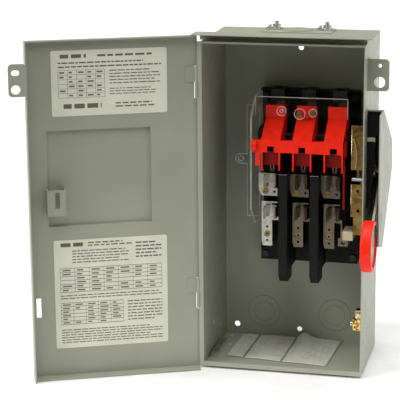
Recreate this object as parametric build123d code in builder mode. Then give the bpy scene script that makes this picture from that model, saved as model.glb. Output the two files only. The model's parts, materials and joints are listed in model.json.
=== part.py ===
"""Fusible three-pole safety switch in a sheet-steel wall box, door open and handle off.

Frame: X to the right, Y back towards the wall, Z up, millimetres. The wall is the plane Y = 0, and
the origin is midway between the two centre mounting holes. Heights are given above the box's
underside and turned into Z by up(). Door pieces are drawn as if the door were shut, in a frame that
stands at the hinge pin and is turned by the angle to which the door is open.
"""

import os
from math import cos, radians, sin

from build123d import *

os.makedirs("parts", exist_ok=True)

# Driving dimensions: the box
box_width = 210.0
box_depth = 138.0
box_height = 432.0
origin_height = 210.0
sheet = 1.5
bend_radius = 4.0
side_x = box_width / 2
inner_x = side_x - sheet
inner_back = -sheet

# Driving dimensions: the door and its hinges
door_open_angle = 155.85
pin_x, pin_y = -side_x - 5.5, -box_depth + 0.5
pin_radius = 1.2
knuckle_radius = 2.2
knuckle_length = 19.9
hinge_lows = (80.0, 360.0)
hinge_length = 40.0
door_right = 218.0
door_low, door_high = -2.5, 439.9
skin_inner = -2.0
skin_outer = skin_inner - sheet
door_return = 24.3

# Driving dimensions: the switch
pole_x = (-22.0, 19.0, 60.0)
barrier_x = (-3.0, 38.0)
rotor_y, rotor_height = -62.0, 300.0
shaft_radius = 4.0
blade_off_angle, blade_on_angle = 80.0, 45.0
blade_reach = 36.0
blade_half = 1.25
finger_half = 12.5
base_front = -22.0
pad_front = -72.0
plate_front = -98.0
fuse_shift = 1.5
fuse_radius = 7.15
arm_left, arm_width = 70.4, 2.0

# Driving dimensions: the drive and the operating handle
handle_y, handle_height = -50.0, 257.0
crank_arm, crank_off_angle = 12.0, 240.8
rotor_arm, rotor_arm_off_angle = 21.6, 225.5
toggle_arm, toggle_off_angle = 14.0, 251.5
anchor_y, anchor_height = -85.0, 229.0
grip_y, grip_height = -163.0, 183.0
grip_radius = 32.5
handle_shaft_radius = 6.0
crank_seat_radius = 5.0
toggle_pin_radius = 2.0
drive_pin_radius = 2.5
running_gap = 0.05
seat_gap = 0.01


def up(height):
    """Z of a point at this height above the box's underside."""
    return height - origin_height


def block(low, high, mode=Mode.ADD):
    """A rectangular block between two opposite corners."""
    with Locations(tuple((a + b) / 2 for a, b in zip(low, high))):
        Box(*[b - a for a, b in zip(low, high)], mode=mode)


def prism(plane, points, length, mode=Mode.ADD):
    """A prism on a plane from the corners of its outline."""
    with BuildSketch(plane) as outline:
        with BuildLine():
            Polyline(*points, close=True)
        make_face()
    extrude(outline.sketch, amount=length, mode=mode)


def rod(plane, centre, radius, length, mode=Mode.ADD):
    """A round bar standing on a plane."""
    with BuildSketch(plane) as outline:
        with Locations(centre):
            Circle(radius)
    extrude(outline.sketch, amount=length, mode=mode)


def lever(plane, first, first_radius, second, second_radius, length):
    """A flat lever with a round end at each of two points."""
    with BuildSketch(plane) as outline:
        with Locations(first):
            Circle(first_radius)
        with Locations(second):
            Circle(second_radius)
        make_hull()
    extrude(outline.sketch, amount=length)


def across(x):
    """The plane seen from the right-hand side: first axis back, second axis up."""
    return Plane.YZ.offset(x)


def facing(y):
    """The plane seen from the front: first axis right, second axis up; it grows forwards."""
    return Plane.XZ.offset(-y)


def level(height):
    """The horizontal plane at this height above the underside."""
    return Plane.XY.offset(up(height))


def polar(centre, radius, angle):
    """The point at a radius and an angle from a centre, in a view from the right-hand side."""
    return (centre[0] + radius * cos(radians(angle)), centre[1] + radius * sin(radians(angle)))


def finish(piece, name):
    """Label a piece and write it."""
    piece.part.label = name
    export_step(piece.part, f"parts/{name}.step")


rotor_axis = (rotor_y, up(rotor_height))
handle_axis = (handle_y, up(handle_height))
anchor = (anchor_y, up(anchor_height))
crank_pin = polar(handle_axis, crank_arm, crank_off_angle)
rotor_pin = polar(rotor_axis, rotor_arm, rotor_arm_off_angle)
toggle_pin = polar(handle_axis, toggle_arm, toggle_off_angle)

# ---------------------------------------------------------------- the box
knockouts = ((-50.0, 36.5), (49.0, 36.5))
knockout_outer = 22.0
knockout_inner = 14.1
centre_holes = (406.5, 13.5)
centre_hole_radius = 3.5
corner_holes = ((-88.0, 15.5), (88.0, 15.5))
corner_hole_radius = 4.0
dimple_radius = 11.0
dimple_depth = 0.5
bushing_radius = 8.5
hinge_flange = 4.5
ground_stud_y, ground_stud_height = -103.0, 86.7
ground_stud_radius = 2.5
notch_x = -108.0


def box_outline(width, front, back, corner):
    """A rectangle open to the front of the frame whose two back corners are rounded."""
    Rectangle(width, back - front, align=(Align.CENTER, Align.MAX))
    fillet(vertices().group_by(Axis.Y)[-1], corner)


def end_plate(height):
    """A flat end wall, laid between the side walls and the back wall."""
    back_plane = Plane(origin=(0, inner_back, up(height)))
    with BuildSketch(back_plane) as outline:
        box_outline(2 * inner_x, -box_depth, inner_back, bend_radius - sheet)
    extrude(outline.sketch, amount=sheet)


with BuildPart() as enclosure_shell:
    with BuildSketch(level(0)):
        box_outline(box_width, -box_depth, 0, bend_radius)
    extrude(amount=box_height)
    with BuildSketch(Plane(origin=(0, inner_back, up(-1)))):
        box_outline(2 * inner_x, -box_depth - 5, 0, bend_radius - sheet)
    extrude(amount=box_height + 2, mode=Mode.SUBTRACT)
    block((-side_x - hinge_flange, -box_depth, up(0)), (-side_x, -box_depth + sheet, up(box_height)))
    for low in hinge_lows:
        block((-side_x - 9, -box_depth - 1, up(low - 1.4)),
              (notch_x, -box_depth + 2, up(low + hinge_length + 0.4)), Mode.SUBTRACT)
    for height, dimple_shift in ((centre_holes[0], -7.0), (centre_holes[1], 4.0)):
        rod(facing(inner_back + dimple_depth), (0, up(height + dimple_shift)), dimple_radius, 3, Mode.SUBTRACT)
        rod(facing(1), (0, up(height)), centre_hole_radius, 5, Mode.SUBTRACT)
    for x, height in corner_holes:
        rod(facing(1), (x, up(height)), corner_hole_radius, 5, Mode.SUBTRACT)
    for x, height in knockouts:
        rod(facing(1), (x, up(height)), knockout_outer, 5, Mode.SUBTRACT)
    rod(across(inner_x - 2), handle_axis, bushing_radius, 6, Mode.SUBTRACT)
    rod(across(inner_x - 2), (ground_stud_y, up(ground_stud_height)), ground_stud_radius + seat_gap, 6,
        Mode.SUBTRACT)
finish(enclosure_shell, "enclosure_shell")

hub_y = -27.0
hub_hole_radius = 16.0
hub_bolt_x = (-28.0, 39.0)
hub_bolt_radius = 3.0
floor_knockout_y = -70.0

with BuildPart() as top_wall:
    end_plate(box_height - sheet)
    block((-inner_x, -box_depth, up(box_height - 2.5)), (inner_x, -box_depth + sheet, up(box_height - sheet)))
    rod(level(box_height - 5), (0, hub_y), hub_hole_radius, 10, Mode.SUBTRACT)
    for x in hub_bolt_x:
        rod(level(box_height - 5), (x, hub_y), hub_bolt_radius + 0.1, 10, Mode.SUBTRACT)
finish(top_wall, "top_wall")

with BuildPart() as bottom_wall:
    end_plate(0)
    block((-inner_x, -box_depth, up(sheet)), (inner_x, -box_depth + sheet, up(6)))
    rod(level(-1), (0, floor_knockout_y), knockout_outer, 5, Mode.SUBTRACT)
finish(bottom_wall, "bottom_wall")


def knockout(plane, centre):
    """A disc inside a ring, each sheared free all round but for the thin lip that still holds it."""
    gap = 0.15
    lip = 0.4
    rod(plane, centre, knockout_outer - gap, sheet)
    rod(plane, centre, knockout_outer + lip, -0.3)
    rod(plane.offset(-1), centre, knockout_inner, 4, Mode.SUBTRACT)
    rod(plane, centre, knockout_inner - gap, sheet)
    rod(plane, centre, knockout_inner + lip, -0.3)


back_outward = Plane(origin=(0, inner_back, 0), x_dir=(1, 0, 0), z_dir=(0, 1, 0))
floor_downward = Plane(origin=(0, 0, up(sheet)), x_dir=(1, 0, 0), z_dir=(0, 0, -1))

with BuildPart() as knockout_slugs:
    for x, height in knockouts:
        knockout(back_outward, (x, -up(height)))
finish(knockout_slugs, "knockout_slugs")

with BuildPart() as floor_knockout:
    knockout(floor_downward, (0, -floor_knockout_y))
finish(floor_knockout, "floor_knockout")

hood_front, hood_back = -149.0, -122.0
hood_half = 114.8
hood_height = 441.0
hood_sheet = 1.2
hood_stop = -109.0

with BuildPart() as drip_hood:
    block((-hood_half, hood_front, up(hood_height)), (hood_half, hood_back, up(hood_height + hood_sheet)))
    block((hood_stop, hood_back - hood_sheet, up(box_height)), (side_x, hood_back, up(hood_height)))
    block((-side_x, hood_back, up(box_height)), (side_x, hood_back + 12, up(box_height + hood_sheet)))
finish(drip_hood, "drip_hood")

plate_top = box_height + 1.6

with BuildPart() as hub_closing_plate:
    with BuildSketch(level(box_height)):
        with Locations((0, hub_y)):
            RectangleRounded(95, 44, 5)
    extrude(amount=1.6)
    rod(level(plate_top), (0, hub_y), hub_hole_radius + 3, 1.0)
    for x in hub_bolt_x:
        rod(level(box_height - 5), (x, hub_y), hub_bolt_radius + 0.1, 10, Mode.SUBTRACT)
finish(hub_closing_plate, "hub_closing_plate")

with BuildPart() as hub_plate_clamps:
    for x in hub_bolt_x:
        block((x - 14, hub_y - 5, up(plate_top)), (x + 7, hub_y + 5, up(plate_top + 2)))
        prism(facing(hub_y + 3), ((x - 14, up(plate_top + 2)), (x - 6.5, up(plate_top + 2)),
                                  (x - 8, up(plate_top + 7.5))), 6)
        rod(level(plate_top + 2), (x, hub_y), 5.0, 1.5)
        rod(level(box_height), (x, hub_y), hub_bolt_radius + 0.1, 10, Mode.SUBTRACT)
finish(hub_plate_clamps, "hub_plate_clamps")

with BuildPart() as hub_plate_bolts:
    for x in hub_bolt_x:
        rod(level(box_height - 6), (x, hub_y), hub_bolt_radius, 18.5)
        for height in (box_height - 5, plate_top + 3.5):
            with BuildSketch(level(height)):
                with Locations((x, hub_y)):
                    RegularPolygon(5.6, 6)
            extrude(amount=3.5)
finish(hub_plate_bolts, "hub_plate_bolts")

# ---------------------------------------------------------------- the hinges
with BuildPart() as body_hinge_knuckles:
    for low in hinge_lows:
        rod(level(low), (pin_x, pin_y), knuckle_radius, knuckle_length)
        block((pin_x, pin_y + 1.0, up(low)), (-side_x, pin_y + knuckle_radius, up(low + knuckle_length)))
        rod(level(low), (pin_x, pin_y), pin_radius + seat_gap, knuckle_length, Mode.SUBTRACT)
finish(body_hinge_knuckles, "body_hinge_knuckles")

with BuildPart() as hinge_pins:
    for low in hinge_lows:
        rod(level(low), (pin_x, pin_y), pin_radius, hinge_length)
        rod(level(low - 1), (pin_x, pin_y), knuckle_radius, 1)
finish(hinge_pins, "hinge_pins")

turn = radians(door_open_angle)
along_door = (cos(turn), -sin(turn), 0)
door_frame = Plane(origin=(pin_x, pin_y, 0), x_dir=along_door, z_dir=(0, 0, 1))
door_face = Plane(origin=(pin_x, pin_y, 0), x_dir=along_door, z_dir=(-sin(turn), -cos(turn), 0))

with BuildPart(door_frame) as door_hinge_knuckles:
    for low in hinge_lows:
        base = low + hinge_length - knuckle_length
        rod(door_frame.offset(up(base)), (0, 0), knuckle_radius, knuckle_length)
        block((0, skin_inner, up(base)), (14, skin_inner + 1, up(low + hinge_length)))
        rod(door_frame.offset(up(base)), (0, 0), pin_radius + running_gap, knuckle_length, Mode.SUBTRACT)
finish(door_hinge_knuckles, "door_hinge_knuckles")

# ---------------------------------------------------------------- the door
emboss_left, emboss_right = 58.0, 194.0
emboss_low, emboss_high = 198.0, 326.0
emboss_depth = 4.0
return_edge = skin_outer + door_return

with BuildPart(door_frame) as door_panel:
    block((-1.5, skin_outer, up(door_low)), (door_right, skin_inner, up(door_high)))
    block((door_right - sheet, skin_inner, up(door_low)), (door_right, return_edge, up(door_high)))
    block((0, skin_inner, up(door_low)), (door_right - sheet, skin_outer + 17, up(door_low + sheet)))
    block((0, skin_inner, up(door_high - sheet)), (door_right - sheet, skin_outer + 9, up(door_high)))
    block((emboss_left, skin_outer - emboss_depth, up(emboss_low)),
          (emboss_right, skin_outer, up(emboss_high)))
    block((emboss_left + sheet, skin_outer - emboss_depth + sheet, up(emboss_low + sheet)),
          (emboss_right - sheet, skin_inner + 1, up(emboss_high - sheet)), Mode.SUBTRACT)
    block((205.9, skin_outer - 1, up(79)), (212.1, skin_inner + 1, up(105)), Mode.SUBTRACT)
    for low in hinge_lows:
        block((-3, skin_outer - 1, up(low - 1.4)), (2.5, skin_inner + 1, up(low + hinge_length + 0.4)),
              Mode.SUBTRACT)
finish(door_panel, "door_panel")

hasp_s = 230.5
padlock_height, seal_height = 383.0, 404.0
ear_low, ear_high = 374.0, 415.0

with BuildPart(door_frame) as door_padlock_ear:
    with BuildSketch(door_face.offset(-return_edge - sheet)):
        with Locations(((door_right - sheet + 239.5) / 2, up((ear_low + ear_high) / 2))):
            RectangleRounded(239.5 - door_right + sheet, ear_high - ear_low, 5)
        with Locations((hasp_s, up(padlock_height))):
            Circle(5.75, mode=Mode.SUBTRACT)
        with Locations((hasp_s, up(seal_height))):
            SlotOverall(10, 7, mode=Mode.SUBTRACT)
    extrude(amount=sheet)
finish(door_padlock_ear, "door_padlock_ear")

body_ear_front = -115.0
hasp_x = pin_x + hasp_s
ear_middle, body_ear_height = 392.0, 40.5
padlock_radius = 7.0

with BuildPart() as body_padlock_ear:
    with BuildSketch(facing(body_ear_front + sheet)):
        with Locations((side_x + 13.5, up(ear_middle))):
            RectangleRounded(27, body_ear_height, 5)
        with Locations((side_x + 4, up(ear_middle))):
            Rectangle(8, body_ear_height)
        with Locations((hasp_x, up(padlock_height))):
            Circle(padlock_radius, mode=Mode.SUBTRACT)
        with Locations((hasp_x, up(seal_height))):
            Circle(2.5, mode=Mode.SUBTRACT)
    extrude(amount=sheet)
    block((side_x, body_ear_front, up(374)), (side_x + 1.2, body_ear_front + 20, up(412)))
finish(body_padlock_ear, "body_padlock_ear")

catch_stand = 12.0
catch_slot = arm_left + arm_width / 2 - pin_x

with BuildPart(door_frame) as door_interlock_catch:
    catch_back = skin_inner + catch_stand
    block((171, catch_back - sheet, up(216)), (195, catch_back, up(250)))
    for edge in (171.0, 195.0 - sheet):
        block((edge, skin_outer - emboss_depth + sheet, up(216)), (edge + sheet, catch_back, up(250)))
    block((catch_slot - 3, catch_back - 3, up(226)), (catch_slot + 3, catch_back + 1, up(247)), Mode.SUBTRACT)
    block((emboss_right - sheet, -9, up(215)), (emboss_right + 2, skin_inner, up(251)), Mode.SUBTRACT)
finish(door_interlock_catch, "door_interlock_catch")

label_thickness = 0.3

with BuildPart(door_frame) as door_label_upper:
    block((37.5, skin_inner, up(342.5)), (184.5, skin_inner + label_thickness, up(426)))
finish(door_label_upper, "door_label_upper")

with BuildPart(door_frame) as door_label_lower:
    block((40.5, skin_inner, up(35.5)), (187.7, skin_inner + label_thickness, up(181)))
finish(door_label_lower, "door_label_lower")

# ---------------------------------------------------------------- the switch's fixed parts
base_left, base_right = -50.0, 82.0
base_low, base_high = 118.0, 353.0
base_back = -6.0
pedestal_half = 13.2
bearings = ((-44.0, -39.0), (76.5, 80.5))
base_screw_spots = ((-44.0, 126.0), (76.0, 126.0), (-44.0, 344.0), (76.0, 344.0))
base_screw_radius = 2.5

with BuildPart() as switch_base:
    block((base_left, base_front, up(base_low)), (base_right, base_back, up(base_high)))
    for x, height in base_screw_spots:
        rod(facing(inner_back), (x, up(height)), 6, inner_back - base_back)
    for x in pole_x:
        block((x - pedestal_half, pad_front, up(226)), (x + pedestal_half, base_front, up(262)))
        block((x - 14, plate_front + sheet, up(227)), (x + 8, pad_front, up(254)))
        block((x - pedestal_half, pad_front, up(150)), (x + pedestal_half, base_front, up(222)))
        block((x - 9, plate_front + sheet, up(190)), (x + 2, pad_front, up(218)))
    for left, right in bearings:
        block((left, rotor_y, up(rotor_height - 10)), (right, base_front, up(rotor_height + 10)))
        rod(across(left), rotor_axis, 10, right - left)
        rod(across(left), rotor_axis, shaft_radius + running_gap, right - left, Mode.SUBTRACT)
    for x, height in base_screw_spots:
        rod(facing(0), (x, up(height)), base_screw_radius + seat_gap, 30, Mode.SUBTRACT)
finish(switch_base, "switch_base")

with BuildPart() as base_screws:
    for x, height in base_screw_spots:
        rod(facing(inner_back), (x, up(height)), base_screw_radius, inner_back - base_front)
        rod(facing(base_front), (x, up(height)), 4.5, 2.5)
        block((x - 5, base_front - 3, up(height) - 0.6), (x + 5, base_front - 1.5, up(height) + 0.6),
              Mode.SUBTRACT)
finish(base_screws, "base_screws")

barrier_half = 5.5
barrier_front = -115.0
barrier_wall = 1.8
barrier_top = 258.5
barrier_outline = ((barrier_front, 125), (barrier_front, barrier_top), (base_front, barrier_top),
                   (base_front, 140), (-48, 140), (-48, 126), (-78, 126), (-78, 113), (-105, 113))

with BuildPart() as phase_barriers:
    for x in barrier_x:
        prism(across(x - barrier_half), [(y, up(height)) for y, height in barrier_outline], 2 * barrier_half)
        block((x - barrier_half + barrier_wall, barrier_front + barrier_wall, up(141)),
              (x + barrier_half - barrier_wall, base_front, up(barrier_top + 1)), Mode.SUBTRACT)
finish(phase_barriers, "phase_barriers")

leaf_near, leaf_far = blade_half + running_gap, blade_half + running_gap + 1.5
jaw_reach = 30.0


def jaw_leaves(x, angle, outline):
    """Two spring leaves either side of a blade, with a root drawn in the view from the right."""
    for left in (x - leaf_far, x + leaf_near):
        with BuildSketch(across(left)) as leaf:
            with Locations(Location(polar(rotor_axis, jaw_reach, angle), angle)):
                Rectangle(12, 10)
        extrude(leaf.sketch, amount=leaf_far - leaf_near)
        prism(across(left), [(y, up(height)) for y, height in outline], leaf_far - leaf_near)


with BuildPart() as line_jaws:
    for x in pole_x:
        jaw_leaves(x, blade_on_angle, ((-41, 315), (-24, 315), (-24, 327), (-41, 327)))
        block((x - 5, base_front - 2, up(312)), (x + 5, base_front, up(351)))
finish(line_jaws, "line_jaws")

line_lug_low, line_lug_high = 343.0, 358.0
line_screw_height = 350.5

with BuildPart() as line_lugs:
    for x in pole_x:
        block((x - 9, -50, up(line_lug_low)), (x + 9, base_front - 2, up(line_lug_high)))
        rod(level(line_lug_low - 3), (x, -38), 5.5, 30, Mode.SUBTRACT)
        rod(facing(-38), (x, up(line_screw_height)), 3.5, 20, Mode.SUBTRACT)
finish(line_lugs, "line_lugs")

with BuildPart() as line_lug_screws:
    for x in pole_x:
        rod(facing(-44), (x, up(line_screw_height)), 3.5 - seat_gap, 5.5)
        block((x - 4, -50, up(line_screw_height) - 0.6), (x + 4, -48, up(line_screw_height) + 0.6),
              Mode.SUBTRACT)
finish(line_lug_screws, "line_lug_screws")

with BuildPart() as load_jaws:
    for x in pole_x:
        jaw_leaves(x, blade_on_angle + 180, ((-88, 260), (-76, 260), (-76, 276), (-88, 276)))
        block((x - leaf_far, -88, up(256)), (x + leaf_far, pad_front, up(260)))
finish(load_jaws, "load_jaws")

clip_inner = fuse_radius + 0.25
clip_outer = clip_inner + 1.2
fuse_y = plate_front - clip_outer + 0.8
mouth_half = 4.5


def fuse_clip(x, low, high):
    """A spring clip that wraps a fuse's end cap and is open to the front, where its lips flare."""
    with BuildSketch(level(low)) as wrap:
        with Locations((x, fuse_y)):
            Circle(clip_outer)
            Circle(clip_inner, mode=Mode.SUBTRACT)
        with Locations((x, fuse_y - 8)):
            Rectangle(2 * mouth_half, 8, mode=Mode.SUBTRACT)
    extrude(wrap.sketch, amount=high - low)
    for side in (-1, 1):
        lip = ((x + side * mouth_half, fuse_y - 5.8), (x + side * (mouth_half + 2.6), fuse_y - 9.0),
               (x + side * (mouth_half + 3.4), fuse_y - 8.2), (x + side * (mouth_half + 1.4), fuse_y - 5.2))
        prism(level(low), lip, high - low)


def screw_plate(outline, holes):
    """A terminal plate facing the front, drawn as (X, height) and pierced at (X, height, radius)."""
    prism(facing(plate_front + sheet), [(x, up(height)) for x, height in outline], sheet)
    for x, height, radius in holes:
        rod(facing(plate_front + 5), (x, up(height)), radius, 10, Mode.SUBTRACT)


clip_screw_spot = (-6.7, 232.0)
clip_screw_radius = 2.6

with BuildPart() as upper_fuse_clips:
    for x in pole_x:
        screw_plate(((x - 16, 236), (x - 12.5, 226), (x + 9, 226), (x + 9, 236.5), (x + 6, 236.5),
                     (x + 6, 256), (x - 16, 256)),
                    ((x + clip_screw_spot[0], clip_screw_spot[1], clip_screw_radius), (x + 4.8, 231.5, 1.7)))
        block((x - 5.5, plate_front - 1, up(237.5)), (x - 4.0, plate_front + 5, up(255)), Mode.SUBTRACT)
        fuse_clip(x + fuse_shift, 240, 256)
finish(upper_fuse_clips, "upper_fuse_clips")

with BuildPart() as clip_screws:
    for x in pole_x:
        spot = (x + clip_screw_spot[0], up(clip_screw_spot[1]))
        rod(facing(plate_front + sheet), spot, clip_screw_radius - seat_gap, sheet)
        rod(facing(plate_front), spot, 3.8, 1.8)
        block((spot[0] - 5, plate_front - 3, spot[1] - 0.5), (spot[0] + 5, plate_front - 0.9, spot[1] + 0.5),
              Mode.SUBTRACT)
finish(clip_screws, "clip_screws")

lug_left, lug_right = -11.0, 2.0
lug_low, lug_high = 158.5, 187.0
lug_middle = (lug_left + lug_right) / 2
lug_screw_height, lug_screw_radius = 174.7, 3.8
lug_bore_y, lug_bore_radius = -83.0, 5.0
pin_holes = (165.6, 184.3)
pin_hole_radius = 1.7

with BuildPart() as lower_fuse_clips:
    for x in pole_x:
        screw_plate(((x - 12, 218.3), (x - 12, 164), (x - 9.5, 158.5), (x + 0.5, 158.5), (x + 2, 164),
                     (x + 2, 216.5), (x + 9, 216.5), (x + 9, 218.3)),
                    ((x + lug_middle, lug_screw_height, lug_screw_radius + 0.6),
                     *[(x + lug_middle, height, pin_hole_radius) for height in pin_holes]))
        block((x - 6, plate_front - 1, up(207)), (x + 0.5, plate_front + 5, up(215)), Mode.SUBTRACT)
        block((x + 2, plate_front, up(193.5)), (x + 12.5, plate_front + sheet, up(198)))
        block((x + 11, plate_front - 3, up(170)), (x + 12.5, plate_front + sheet, up(198)))
        block((x + 2, plate_front, up(201)), (x + 5, plate_front + sheet, up(212)))
        fuse_clip(x + fuse_shift, 199, 214)
finish(lower_fuse_clips, "lower_fuse_clips")

with BuildPart() as load_lugs:
    for x in pole_x:
        block((x + lug_left, plate_front + sheet, up(lug_low)), (x + lug_right, pad_front, up(lug_high)))
        rod(level(150), (x + lug_middle, lug_bore_y), lug_bore_radius, 45, Mode.SUBTRACT)
        rod(facing(lug_bore_y), (x + lug_middle, up(lug_screw_height)), lug_screw_radius, 20, Mode.SUBTRACT)
        for height in pin_holes:
            rod(facing(plate_front + 5), (x + lug_middle, up(height)), pin_hole_radius, 6, Mode.SUBTRACT)
finish(load_lugs, "load_lugs")

with BuildPart() as load_lug_screws:
    for x in pole_x:
        rod(facing(lug_bore_y - 6), (x + lug_middle, up(lug_screw_height)), lug_screw_radius - seat_gap, 8.5)
        rod(facing(plate_front + 4), (x + lug_middle, up(lug_screw_height)), 1.8, 5, Mode.SUBTRACT)
finish(load_lug_screws, "load_lug_screws")

shield_left, shield_right = -48.5, 74.0
shield_bosses = ((-12.5, 334.0, 6.0), (11.6, 331.0, 7.0), (29.0, 333.0, 5.0))
shield_front = -73.5
shield_outline = ((shield_front, 352), (-100, 326), (-100, 207), (-74, 182), (base_front, 182),
                  (base_front, 270), (-30, 352))

with BuildPart() as line_shield:
    block((shield_left, shield_front, up(326)), (shield_right, pad_front, up(352)))
    prism(across(shield_left), [(y, up(height)) for y, height in shield_outline], sheet)
    block((-65.5, -41.5, up(183)), (shield_left, -40, up(334)))
    with BuildSketch(facing(-40)):
        with Locations((-70, up(261))):
            SlotOverall(22, 13)
        with Locations((-74, up(261))):
            Circle(3.5, mode=Mode.SUBTRACT)
    extrude(amount=sheet)
    for x, height, radius in shield_bosses:
        rod(facing(pad_front), (x, up(height)), radius, 4)
        rod(facing(-60), (x, up(height)), 2.2, 25, Mode.SUBTRACT)
finish(line_shield, "line_shield")

with BuildPart() as shield_screws:
    for x, height, radius in shield_bosses[1:]:
        rod(facing(pad_front + 2), (x, up(height)), 2.2 - seat_gap, 6)
        rod(facing(pad_front - 4), (x, up(height)), 4.0, 2)
        block((x - 5, -79, up(height) - 0.6), (x + 5, -77, up(height) + 0.6), Mode.SUBTRACT)
finish(shield_screws, "shield_screws")

# ---------------------------------------------------------------- the rotor
bar_left, bar_right = -46.5, 72.5
finger_wall = 2.2
bar_low, bar_high = 284.0, 300.0
bar_front, bar_back = -100.0, -92.0
leg_low = 260.0
finger_side = ((bar_front, bar_low), (bar_front, bar_high), (-70, 322), (-67, 324), (-67, 340),
               (-58, 340), (-50, 325), (-50, 290), (-60, 288), (bar_back, bar_low))
finger_space = ((bar_back, 280), (bar_back, 303.4), (-68.8, 320.4), (-64, 323), (-64, 345),
                (-45, 345), (-45, 280))

with BuildPart() as rotor_fingers:
    for x in pole_x:
        prism(across(x - finger_half), [(y, up(height)) for y, height in finger_side], 2 * finger_half)
    for x in pole_x:
        inside = finger_half - finger_wall
        prism(across(x - inside), [(y, up(height)) for y, height in finger_space], 2 * inside, Mode.SUBTRACT)
        rod(across(x - inside), rotor_axis, 8, 2 * inside)
        block((x - finger_half, -67, up(322)), (x + finger_half, -64, up(340)))
    block((bar_left, bar_front, up(bar_low)), (bar_right, bar_back, up(bar_high)), Mode.SUBTRACT)
    rod(across(-60), rotor_axis, shaft_radius + seat_gap, 160, Mode.SUBTRACT)
    for x in pole_x:
        with BuildSketch(across(x - blade_half - seat_gap)):
            with Locations(Location(rotor_axis, blade_off_angle)):
                Rectangle(2 * blade_reach, 9 + 2 * seat_gap)
        extrude(amount=2 * (blade_half + seat_gap), mode=Mode.SUBTRACT)
finish(rotor_fingers, "rotor_fingers")

with BuildPart() as rotor_crossbar:
    block((bar_left, bar_front, up(bar_low)), (bar_right, bar_back, up(bar_high)))
    rod(across(bar_left), (-96, up(292)), 8.5, 6)
    for x in pole_x:
        block((x - 4.65, bar_front - 1, up(bar_low)), (x + 4.65, bar_back + 1, up(bar_low + 8)), Mode.SUBTRACT)
        for edge in (x - finger_half, x + finger_half - 2):
            block((edge, bar_front, up(leg_low)), (edge + 2, bar_back, up(bar_low)))
        block((x - finger_half, bar_back - 1.5, up(266)), (x + finger_half, bar_back, up(bar_low)))
    block((-42, bar_front, up(266)), (-37, bar_front + 2, up(bar_low)))
finish(rotor_crossbar, "rotor_crossbar")

with BuildPart() as rotor_blades:
    for x in pole_x:
        with BuildSketch(across(x - blade_half)):
            with Locations(Location(rotor_axis, blade_off_angle)):
                Rectangle(2 * blade_reach, 9)
        extrude(amount=2 * blade_half)
        rod(across(x - 5), rotor_axis, shaft_radius + seat_gap, 10, Mode.SUBTRACT)
finish(rotor_blades, "rotor_blades")

with BuildPart() as rotor_shaft:
    rod(across(-46), rotor_axis, shaft_radius, 131.0)
finish(rotor_shaft, "rotor_shaft")

arm_front, arm_back = -83.5, -78.5
arm_low = 208.0

with BuildPart() as interlock_arm:
    block((arm_left, arm_front, up(arm_low)), (arm_left + arm_width, arm_back, up(bar_low - 1)))
    block((arm_left, arm_front, up(bar_low - 6)), (bar_right + arm_width, arm_back, up(bar_low - 1)))
    block((bar_right, arm_front, up(bar_low - 6)), (bar_right + arm_width, arm_back, up(298)))
finish(interlock_arm, "interlock_arm")

# ---------------------------------------------------------------- the drive
link_x = 86.0
crank_x = 90.5
guide_x = 95.0
opened_clearance = 1.1

with BuildPart() as rotor_crank:
    lever(across(82), rotor_axis, 9, rotor_pin, 6, 3)
    rod(across(82), rotor_axis, shaft_radius + seat_gap, 3, Mode.SUBTRACT)
    rod(across(82), rotor_pin, drive_pin_radius, 7.5)
finish(rotor_crank, "rotor_crank")

with BuildPart() as drive_link:
    lever(across(link_x), crank_pin, 5.5, rotor_pin, 6.5, 3)
    rod(across(link_x), crank_pin, drive_pin_radius + running_gap, 3, Mode.SUBTRACT)
    rod(across(link_x), rotor_pin, drive_pin_radius + opened_clearance, 3, Mode.SUBTRACT)
finish(drive_link, "drive_link")

with BuildPart() as handle_crank:
    lever(across(crank_x), handle_axis, 10, toggle_pin, 5.5, 3)
    rod(across(crank_x), handle_axis, crank_seat_radius + seat_gap, 3, Mode.SUBTRACT)
    rod(across(link_x), crank_pin, drive_pin_radius, 4.5)
    rod(across(crank_x + 3), toggle_pin, toggle_pin_radius, 4)
finish(handle_crank, "handle_crank")

pin_rest_distance, pin_near_distance = 33.9, 30.8
guide_end = 38.2
guide_turn = 25.72
slot_play = 0.5
guide_frame = Plane(origin=(guide_x, anchor[0], anchor[1]), z_dir=(1, 0, 0),
                    x_dir=(0, cos(radians(guide_turn)), sin(radians(guide_turn))))

with BuildPart() as spring_guide:
    with BuildSketch(guide_frame):
        with Locations(((guide_end - 4) / 2, 0)):
            SlotOverall(guide_end + 4, 8)
        Circle(2 + running_gap, mode=Mode.SUBTRACT)
        with Locations(((pin_rest_distance + pin_near_distance) / 2, 0)):
            SlotOverall(pin_rest_distance - pin_near_distance + 2 * (toggle_pin_radius + slot_play), 5.4,
                        mode=Mode.SUBTRACT)
    extrude(amount=2)
finish(spring_guide, "spring_guide")

coil_radius, wire_radius = 5.2, 0.6

with BuildPart() as toggle_spring:
    for turn_number in range(7):
        centre = 6 + 2.4 * turn_number
        ring = Plane(origin=(guide_x + 1, *polar(anchor, centre, guide_turn)),
                     x_dir=(1, 0, 0), z_dir=(0, cos(radians(guide_turn)), sin(radians(guide_turn))))
        with BuildSketch(ring):
            Circle(coil_radius + wire_radius)
            Circle(coil_radius - wire_radius, mode=Mode.SUBTRACT)
        extrude(amount=2 * wire_radius)
finish(toggle_spring, "toggle_spring")

frame_inner = inner_x - 1.5
frame_front = -101.5

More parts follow.
